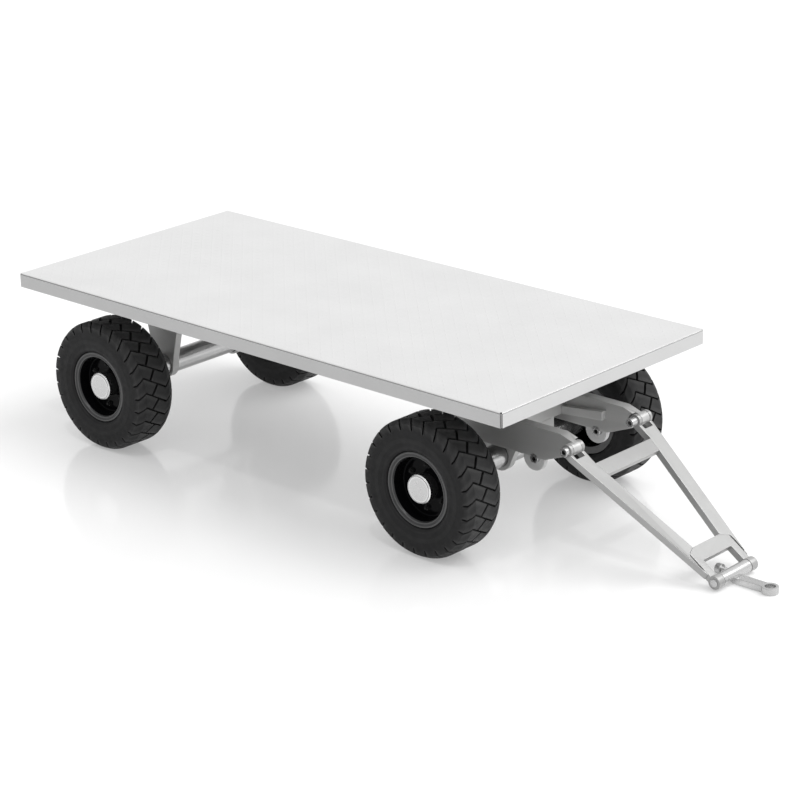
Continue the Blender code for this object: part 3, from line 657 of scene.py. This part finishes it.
def tyre_mesh(radius, width):
    half = width / 2
    pitch = 2 * pi * radius / PITCHES
    wall = list(SIDEWALL)
    wall.append((radius - SHOULDER_DROP - WALL_TOP_DROP, half - SHOULDER_INSET + WALL_TOP_OUT))
    outer = [(r, z, 0) for r, z in wall]
    inner = [(r, -z, width) for r, z in reversed(wall)]
    rows = tread_rows(width)
    points = []
    for k in range(PITCHES):
        for t, in_groove in tread_columns(pitch):
            tread = [tread_point(row, t, in_groove, radius, width) for row in rows]
            for r, z, place in outer + tread + inner:
                angle = ((k + t) * pitch + groove_path(place)) / radius
                points.append((r * cos(angle), r * sin(angle), z))
    return clean(skinned("treaded_tyre", points, len(outer) + len(rows) + len(inner)))


# Rims, hubs and caps

def rim_mesh():
    """The dish and its rolled flange. The flange is satin, and the dish is gloss."""
    rim = turned(RIM_FLANGE + RIM_DISH + RIM_BACK, steps=RIM_STEPS)
    rim.materials.append(FINISH["rim_black"])
    rim.materials.append(FINISH["satin_black"])
    for face in rim.polygons:
        face.material_index = int(hypot(face.center.x, face.center.y) > FLANGE_INNER)
    return rim


def hex_ring(radius):
    return ring(0, 0, radius, 6)


def nut_mesh(face):
    """A wheel nut on its stud, standing on a face at this height."""
    nut = plate([hex_ring(NUT_RADIUS)], face, face + NUT_HEIGHT, NUT_EDGE)
    washer = plate(
        [ring(0, 0, WASHER_RADIUS, WASHER_STEPS)], face - WASHER_FOOT, face + WASHER_TOP,
        WASHER_EDGE,
    )
    end = face + STUD_REACH
    profile = [
        (0, end), (STUD_RADIUS - STUD_CHAMFER, end), (STUD_RADIUS, end - STUD_CHAMFER),
        (STUD_RADIUS, face), (0, face),
    ]
    return joined(nut, washer, turned(profile, closed=False, steps=COARSE_STEPS))


def nuts_mesh(face):
    made = []
    for i in range(NUT_COUNT):
        mesh = nut_mesh(face)
        spin = Matrix.Rotation(2 * pi * (i + 0.5) / NUT_COUNT, 4, "Z")
        mesh.transform(spin @ Matrix.Translation((NUT_CIRCLE, 0, 0)))
        made.append(mesh)
    return joined(*made)


def add_wheels():
    low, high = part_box("front_right_tyre")
    size = high - low
    tyre, rim = tyre_mesh(size.x / 2, size.y), rim_mesh()
    hub = turned(HUB, steps=FINE_STEPS)
    cap = turned(CAP, closed=False, steps=FINE_STEPS)
    nuts = nuts_mesh(NUT_SEAT)
    for end, side in CORNERS:
        corner, body = f"{end}_{side}", f"{end}_{side}_wheel"
        matrix = wheel_matrix(end, side)
        show(
            f"{corner}_treaded_tyre", tyre, body, "tyre", [f"{corner}_tyre"], matrix,
            TYRE_SHARP,
        )
        show(
            f"{corner}_dished_rim", rim, body, "rim_black", [f"{corner}_rim"], matrix
        )
        show(
            f"{corner}_turned_hub", hub, body, "satin_black", [f"{corner}_hub"],
            matrix,
        )
        show(
            f"{corner}_turned_cap", cap, body, "hub_cap", [f"{corner}_hub_cap"], matrix
        )
        show(f"{corner}_wheel_nuts", nuts, body, "rim_black", (), matrix)


def add_axles():
    for end, body in (("front", "front_bogie"), ("rear", "chassis")):
        low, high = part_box(f"{end}_axle")
        x, z = (low.x + high.x) / 2, (low.z + high.z) / 2
        reach, radius = high.y, (high.z - low.z) / 2
        half = [
            (0, reach),
            (SPINDLE_RADIUS - SPINDLE_CHAMFER, reach),
            (SPINDLE_RADIUS, reach - SPINDLE_CHAMFER),
            (SPINDLE_RADIUS, SPINDLE_START),
            (COLLAR_RADIUS - SPINDLE_CHAMFER, SPINDLE_START),
            (COLLAR_RADIUS, SPINDLE_START - SPINDLE_CHAMFER),
            (COLLAR_RADIUS, COLLAR_START),
            (radius - AXLE_CHAMFER, COLLAR_START),
            (radius, COLLAR_START - AXLE_CHAMFER),
            (radius, AXLE_MIDDLE),
        ]
        matrix = Matrix.Translation((x, 0, z)) @ Matrix.Rotation(pi / 2, 4, "X")
        mesh = turned(mirrored(half), matrix, closed=False, steps=FINE_STEPS)
        show(f"{end}_round_axle", mesh, body, "axle", [f"{end}_axle"])


# Deck

def deck_loop(low, high, inset, z, seam):
    """A rounded rectangle, with a slit of this half angle and depth at each corner."""
    radius = max(DECK_CORNER - inset, LEAST_CORNER)
    half_seam, depth = seam
    whole = [((45 - half_seam) * share, 0) for share in CORNER_SHARES]
    turns = whole + [(45 - half_seam * SEAM_FLOOR, depth), (45 + half_seam * SEAM_FLOOR, depth)]
    turns += [(90 - angle, 0) for angle, _ in reversed(whole)]
    points = []
    for sx, sy, start in ((1, 1, 0), (-1, 1, 90), (-1, -1, 180), (1, -1, 270)):
        cx = (high.x if sx > 0 else low.x) - sx * (inset + radius)
        cy = (high.y if sy > 0 else low.y) - sy * (inset + radius)
        for angle, sunk in turns:
            a = radians(start + angle)
            points.append((cx + (radius - sunk) * cos(a), cy + (radius - sunk) * sin(a), z))
    return points


def deck_rows(top, bottom):
    """Loops of the folded sheet, from under its top over the rim to its top: (inset, z, seam)."""
    slit, none = (SEAM_HALF, SEAM_DEPTH), (SEAM_HALF, 0)
    under = [
        (SHEET, top - SHEET, none), (SHEET, bottom + INNER_EDGE, none),
        (SHEET - INNER_EDGE, bottom, none), (OUTER_EDGE, bottom, slit),
    ]
    side = [(0, bottom + OUTER_EDGE, slit), (0, top - BEND, slit)]
    bend = []
    for step in range(BEND_STEP, 90, BEND_STEP):
        a = radians(step)
        seam = (SEAM_HALF + SEAM_GROWTH * step / BEND_STEP, SEAM_DEPTH * (1 - step / SEAM_FADE))
        bend.append((BEND * (1 - cos(a)), top - BEND * (1 - sin(a)), seam))
    line = BEND + LINE_WIDTH / 4
    crown = [
        (BEND, top, none), (line, top - LINE_DEPTH, none),
        (line + LINE_WIDTH / 2, top - LINE_DEPTH, none), (BEND + LINE_WIDTH, top, none),
    ]
    return under, side, bend, crown


def add_deck():
    low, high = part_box("deck_plate")
    top, bottom = high.z - RELIEF, low.z
    under, side, bend, crown = deck_rows(top, bottom)
    rows = under + side + bend + crown
    points, faces = [], []
    for inset, z, seam in rows:
        points += deck_loop(low, high, inset, z, seam)
    count = len(points) // len(rows)
    for j in range(len(rows) - 1):
        for i in range(count):
            k = (i + 1) % count
            faces.append((j * count + i, j * count + k, (j + 1) * count + k, (j + 1) * count + i))
    faces.append(tuple(range((len(rows) - 1) * count, len(rows) * count)))
    faces.append(tuple(reversed(range(count))))
    mesh = meshed("folded_deck", points, faces)
    for finish in DECK_FINISHES:
        mesh.materials.append(FINISH[finish])
    side_start = len(under)
    bend_start = side_start + len(side) - 1
    shaded_slit_rows = range(side_start, bend_start + len(bend) + 1)
    shade_line_rows = range(bend_start, bend_start + SHADE_LINE_BENDS)
    for face in mesh.polygons:
        row, column = divmod(face.index, count)
        # The slits' faces take the gloss black finish: painted shade in the corner slits
        if row in shaded_slit_rows and column % CORNER_POINTS in SLIT_COLUMNS:
            face.material_index = DECK_FINISHES.index("rim_black")
        # The lower rows of the bend take the axle finish: a painted shade line along the fold
        elif row in shade_line_rows:
            face.material_index = DECK_FINISHES.index("axle")
    show("folded_deck", clean(mesh), "chassis", "deck_plate", ["deck_plate"])
    add_relief(low, high, top)


def lozenge_shape():
    length, width = LOZENGE
    x, y = length * LOZENGE_BULGE[0], width * LOZENGE_BULGE[1]
    return [
        (-length, 0), (-x, y), (0, width), (x, y), (length, 0), (x, -y), (0, -width), (-x, -y)
    ]


def add_relief(low, high, base):
    """The lozenges of the tread plate, turned by turns one way and the other."""
    shape = lozenge_shape()
    sides = len(shape)
    columns = int((high.x - low.x - 2 * RELIEF_MARGIN) / RELIEF_PITCH)
    rows = int((high.y - low.y - 2 * RELIEF_MARGIN) / RELIEF_PITCH)
    middle = (low + high) / 2
    points, faces = [], []
    for i in range(columns):
        for j in range(rows):
            x = middle.x + (i - (columns - 1) / 2) * RELIEF_PITCH
            y = middle.y + (j - (rows - 1) / 2) * RELIEF_PITCH
            turn = radians(45 if (i + j) % 2 else -45)
            foot = len(points)
            for scale, z in ((1.0, base), (LOZENGE_TOP, base + RELIEF)):
                for u, v in shape:
                    u, v = u * scale, v * scale
                    across = u * cos(turn) - v * sin(turn)
                    along = u * sin(turn) + v * cos(turn)
                    points.append((x + across, y + along, z))
            crest = foot + sides
            for k in range(sides):
                m = (k + 1) % sides
                faces.append((foot + k, foot + m, crest + m, crest + k))
            faces.append(tuple(range(crest, crest + sides)))
    mesh = meshed("tread_relief", points, faces)
    show("tread_relief", mesh, "chassis", "deck_plate", sharp=RELIEF_SHARP)


# Bogie

def touch(point, centre, radius, turn):
    """The angle at which a line from the point touches the circle."""
    dx, dz = point[0] - centre[0], point[1] - centre[1]
    return degrees(atan2(dz, dx) + turn * acos(radius / hypot(dx, dz)))


def plate_outline(rear, top, px, pz):
    """The side plate from its square rear end to the round nose about the drawbar's pivot."""
    bottom_knee, top_knee = (BOTTOM_KNEE, PLATE_BOTTOM), (TOP_KNEE, top)
    upper = touch(top_knee, (px, pz), BOSS_RADIUS, -1)
    lower = touch(bottom_knee, (px, pz), BOSS_RADIUS, 1)
    corner, x = PLATE_CORNER, rear + PLATE_CORNER
    return [
        *arc(x, PLATE_BOTTOM + corner, corner, 180, 270, CORNER_STEPS),
        bottom_knee,
        *arc(px, pz, BOSS_RADIUS, lower, upper, NOSE_STEPS),
        top_knee,
        *arc(x, top - corner, corner, 90, 180, CORNER_STEPS),
    ]


def add_side_plate(side):
    low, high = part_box(f"bogie_side_plate_{side}")
    axle, pivot = joint_place("front_steer"), joint_place("drawbar_tilt")
    px, pz = pivot.x - axle.x, pivot.z - axle.z
    outline = plate_outline(low.x - axle.x, high.z - axle.z, px, pz)
    plane = side_plane(axle.x, axle.z, side)
    bolt = ring(px, pz, BOLT_CLEARANCE)
    mesh = plate([outline, bolt], PLATE_INNER, PLATE_FACE, PLATE_EDGE, plane)
    recess = plate(
        [ring(px, pz, RECESS_RADIUS)], PLATE_INNER - CUT_OVERRUN, RECESS_END, CUT_EDGE, plane
    )
    mesh = cut_from(mesh, recess)
    # Both lug screws have their heads on the trailer's right
    screwed, back, inward = PLATE_FACE, PLATE_INNER, -1
    if side == "left":
        screwed, back, inward = PLATE_INNER, PLATE_FACE, 1
    lug_span = sorted((screwed + inward * LUG_RECESS, back - inward * LUG_INSET))
    notch_span = sorted(
        (screwed - inward * CUT_OVERRUN, screwed + inward * (LUG_RECESS + LUG_NOTCH_SPARE))
    )
    notch = plate([ring(LUG_SCREW_X, LUG_Z, LUG_NOTCH)], *notch_span, CUT_EDGE, plane)
    mesh = cut_from(mesh, notch)
    boss = plate(
        [ring(px, pz, BOSS_RADIUS), bolt], PLATE_FACE - BOSS_FOOT, BOSS_END, BOSS_EDGE, plane
    )
    lug = plate(
        [ring(LUG_X, LUG_Z - LUG_DROP, LUG_RADIUS), ring(LUG_SCREW_X, LUG_Z, LUG_HOLE)],
        *lug_span, LUG_EDGE, plane,
    )
    node = f"bogie_side_plate_{side}"
    shown = joined(mesh, boss)
    # The side plate takes the lighter steel, painted light for the shade under the deck
    show(f"side_plate_{side}", shown, "front_bogie", "painted_light_steel", [node])
    show(f"side_lug_{side}", lug, "front_bogie", "deck_plate", [node])


def screw_mesh(head_height, shank_end):
    """A socket-head screw along Z, with its head's face at the start."""
    head = plate([ring(0, 0, HEAD_RADIUS), hex_ring(SOCKET_RADIUS)], 0, head_height, HEAD_EDGE)
    seat = head_height - SHANK_OVERLAP
    floor = plate([ring(0, 0, SOCKET_FLOOR_RADIUS)], SOCKET_DEPTH, seat, SOCKET_FLOOR_EDGE)
    shank = turned(
        [(0, seat), (SHANK_RADIUS, seat), (SHANK_RADIUS, shank_end), (0, shank_end)],
        closed=False, steps=SMALL_STEPS,
    )
    mesh = joined(head, floor, shank)
    mesh.materials.append(FINISH["machined_steel"])
    mesh.materials.append(FINISH["socket"])
    # Faces deep in the hex socket take the dark finish: painted shade in the hole
    for face in mesh.polygons:
        near = hypot(face.center.x, face.center.y) < SOCKET_RADIUS + SOCKET_MARGIN
        deep = SOCKET_RIM < face.center.z < SOCKET_DEPTH + SOCKET_FLOOR_SPARE
        face.material_index = int(near and deep)
    return mesh


def add_screw(name, node, body, x, z, head_height, recess=0.0):
    """A screw along Y, with its head where the CAD node's box starts or further in."""
    low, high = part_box(node)
    mesh = screw_mesh(head_height, high.y - low.y - recess)
    mesh.transform(along_y(x, low.y + recess, z))
    show(name, mesh, body, "machined_steel", [node])


def add_bogie():
    axle = joint_place("front_steer")
    for side in SIDES:
        add_side_plate(side)
        add_screw(
            f"lug_screw_{side}", f"bogie_lug_screw_{side}", "front_bogie",
            axle.x + LUG_SCREW_X, axle.z + LUG_Z, HEAD_HEIGHT, LUG_RECESS,
        )


# Drawbar

def drawbar_plane():
    """The drawbar's plane from its pivot, and how far down it the eye's pin stands."""
    pivot, pin = joint_place("drawbar_tilt"), joint_place("towing_eye_pivot")
    reach = (pin - pivot).length
    slope = atan2(pivot.z - pin.z, pin.x - pivot.x) - asin(-TIP_W / reach)
    matrix = Matrix.Translation(pivot) @ Matrix.Rotation(slope, 4, "Y")
    return matrix, (reach ** 2 - TIP_W ** 2) ** 0.5


def ear(matrix, radius, span, sign, edge):
    """A round ear about the place, standing a little proud of the bar at both faces."""
    low, high = span[0] - EAR_PROUD, span[1] + EAR_PROUD
    return plate([ring(0, 0, radius)], *sorted((sign * low, sign * high)), edge, matrix)


def add_arm(side, matrix):
    sign = 1 if side == "left" else -1
    outline = fillet([(u, sign * y) for u, y in ARM], BAR_FILLET, BAR_FILLET_STEPS)
    meshes = [plate([outline], -BAR_DEPTH, 0, BAR_EDGE, matrix)]
    place = matrix @ along_y(0, 0, 0)
    meshes += [ear(place, EAR_RADIUS, span, sign, EAR_EDGE) for span in FORK_EARS]
    show(
        f"fork_arm_{side}", joined(*meshes), "drawbar", "frame_steel",
        [f"drawbar_arm_{side}"],
    )


def add_drawbar():
    matrix, tip = drawbar_plane()
    pivot = joint_place("drawbar_tilt")
    for side, head_height in (("left", NUT_END_HEIGHT), ("right", HEAD_HEIGHT)):
        add_arm(side, matrix)
        add_screw(
            f"pivot_screw_{side}", f"drawbar_pivot_bolt_{side}", "drawbar", pivot.x, pivot.z,
            head_height,
        )
    outline = fillet(mirrored(CROSSPLATE), CROSSPLATE_EDGE)
    mesh = plate([outline], -BAR_DEPTH, 0, CROSSPLATE_EDGE, matrix)
    show(
        "rear_crossplate", mesh, "drawbar", "frame_steel",
        ["drawbar_rear_crossplate"],
    )
    inner, outer = YOKE_EAR
    end = tip - YOKE_SHORT
    half = [*YOKE_REAR, (end, outer), (end, inner), (YOKE_WEB_END, inner)]
    outline = fillet(mirrored(half), YOKE_FILLET, BAR_FILLET_STEPS)
    place = matrix @ along_y(tip, 0, TIP_W)
    meshes = [plate([outline], -BAR_DEPTH, 0, BAR_EDGE, matrix)]
    meshes += [ear(place, TIP_RADIUS, YOKE_EAR, sign, YOKE_EAR_EDGE) for sign in (1, -1)]
    show(
        "front_yoke", joined(*meshes), "drawbar", "frame_steel",
        ["drawbar_front_yoke"],
    )
    add_eye_pin()


def add_eye_pin():
    """A plain pin with a low chamfered head against the yoke's near ear."""
    pin = joint_place("towing_eye_pivot")
    low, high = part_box("towing_eye_pin")
    seat, chamfer = low.y + PIN_SEAT, PIN_HEAD_CHAMFER
    face = seat - PIN_HEAD_HEIGHT
    profile = [
        (0, face), (PIN_HEAD_RADIUS - chamfer[0], face), (PIN_HEAD_RADIUS, face + chamfer[1]),
        (PIN_HEAD_RADIUS, seat), (SHANK_RADIUS, seat), (SHANK_RADIUS, high.y - PIN_CHAMFER),
        (SHANK_RADIUS - PIN_CHAMFER, high.y), (0, high.y),
    ]
    mesh = turned(profile, along_y(pin.x, 0, pin.z), closed=False)
    show("eye_pin", mesh, "drawbar", "machined_steel", ["towing_eye_pin"])


def add_eye():
    pin = joint_place("towing_eye_pivot")
    _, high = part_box("towing_eye")
    reach = high.x - EYE_OUTER - pin.x
    meet = degrees(asin(EYE_HALF_WIDTH / EYE_OUTER))
    outline = [
        (EYE_START, -EYE_HALF_WIDTH),
        *arc(reach, 0, EYE_OUTER, meet - 180, 180 - meet, SMALL_STEPS),
        (EYE_START, EYE_HALF_WIDTH),
    ]
    place = Matrix.Translation((pin.x, 0, 0))
    eye = plate([outline, ring(reach, 0, EYE_HOLE)], EYE_BOTTOM, EYE_TOP, EYE_EDGE, place)
    barrel = plate(
        [ring(0, 0, BARREL_RADIUS), ring(0, 0, BOLT_CLEARANCE)], -BARREL_HALF, BARREL_HALF,
        BAR_EDGE, along_y(*pin),
    )
    rearward = Matrix.Translation(pin) @ Matrix.Rotation(-pi / 2, 4, "Y")
    stub = turned(
        [
            (0, STUB_END), (STUB_RADIUS - STUB_CHAMFER, STUB_END),
            (STUB_RADIUS, STUB_END - STUB_CHAMFER), (STUB_RADIUS, STUB_START), (0, STUB_START),
        ],
        rearward, closed=False, steps=SMALL_STEPS,
    )
    show(
        "forged_eye", joined(eye, barrel, stub), "eye", "machined_steel",
        ["towing_eye"],
    )
    nut = plate(
        [ring(0, 0, EYE_NUT_RADIUS), ring(0, 0, EYE_NUT_HOLE)], *EYE_NUT_SPAN, EYE_NUT_EDGE,
        rearward,
    )
    show("eye_nut", nut, "eye", "machined_steel", ["towing_eye_nut"])


# Studio

def add_floor():
    reach = FLOOR_REACH
    corners = [(-reach, -reach, 0), (reach, -reach, 0), (reach, reach, 0), (-reach, reach, 0)]
    floor = meshed("floor", corners, [(0, 1, 2, 3)])
    floor.materials.append(FINISH["pale_floor"])
    obj = bpy.data.objects.new("floor", floor)
    bpy.context.scene.collection.objects.link(obj)


def add_world():
    """A plain white surround, dimmer on the side away from the light."""
    world = bpy.data.worlds.new("studio")
    world.use_nodes = True
    nodes, links = world.node_tree.nodes, world.node_tree.links
    facing = nodes.new("ShaderNodeVectorMath")
    facing.operation = "DOT_PRODUCT"
    facing.inputs[1].default_value = Vector(SUN_FROM).normalized()
    links.new(nodes.new("ShaderNodeTexCoord").outputs["Generated"], facing.inputs[0])
    level = nodes.new("ShaderNodeMapRange")
    level.inputs["From Min"].default_value, level.inputs["From Max"].default_value = WORLD_FADE
    level.inputs["To Min"].default_value = WORLD_DIM
    level.inputs["To Max"].default_value = WORLD_BRIGHT
    links.new(facing.outputs["Value"], level.inputs["Value"])
    links.new(level.outputs["Result"], nodes["Background"].inputs["Strength"])
    nodes["Background"].inputs["Color"].default_value = (1, 1, 1, 1)
    bpy.context.scene.world = world


def add_sun(name, source, strength, spread):
    light = bpy.data.lights.new(name, "SUN")
    light.energy = strength
    light.angle = radians(spread)
    obj = bpy.data.objects.new(name, light)
    obj.rotation_euler = (-Vector(source)).to_track_quat("-Z", "Y").to_euler()
    bpy.context.scene.collection.objects.link(obj)


def add_camera():
    camera = bpy.data.cameras.new("camera")
    camera.lens = LENS
    obj = bpy.data.objects.new("camera", camera)
    obj.matrix_world = (
        Matrix.Translation(CAMERA_PLACE)
        @ Matrix.Rotation(radians(CAMERA_HEADING), 4, "Z")
        @ Matrix.Rotation(radians(CAMERA_TILT), 4, "X")
        @ Matrix.Rotation(radians(CAMERA_ROLL), 4, "Z")
    )
    bpy.context.scene.collection.objects.link(obj)
    bpy.context.scene.camera = obj
    bpy.context.scene.view_settings.view_transform = "Standard"


def finish_cad_nodes():
    """Every CAD node takes a finish, the turned and bolted ones a brighter one."""
    for name, obj in frame["nodes"].items():
        bright = name.endswith("_bearing") or name in BRIGHT_NODES
        obj.data.materials.clear()
        # Nodes that are not bright take the lighter steel, painted light for the shade under the
        # deck
        obj.data.materials.append(FINISH["machined_steel" if bright else "painted_light_steel"])


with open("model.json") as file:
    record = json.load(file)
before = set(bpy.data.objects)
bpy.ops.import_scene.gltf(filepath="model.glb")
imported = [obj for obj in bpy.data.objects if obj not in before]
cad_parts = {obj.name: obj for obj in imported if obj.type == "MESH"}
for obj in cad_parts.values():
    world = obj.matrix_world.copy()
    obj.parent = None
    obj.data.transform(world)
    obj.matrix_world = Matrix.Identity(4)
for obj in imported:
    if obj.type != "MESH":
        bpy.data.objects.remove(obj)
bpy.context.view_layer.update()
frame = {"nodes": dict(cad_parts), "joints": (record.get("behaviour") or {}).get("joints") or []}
FINISH = {name: made_finish(name) for name in FINISHES}

finish_cad_nodes()
add_camera()
add_floor()
add_world()
add_sun("soft_key", SUN_FROM, SUN_STRENGTH, SUN_SPREAD)
add_sun("glint", GLINT_FROM, GLINT_STRENGTH, GLINT_SPREAD)
add_deck()
add_wheels()
add_axles()
add_bogie()
add_drawbar()
add_eye()
for rounding, names in REFINED.items():
    for node in names:
        refine(node, rounding)
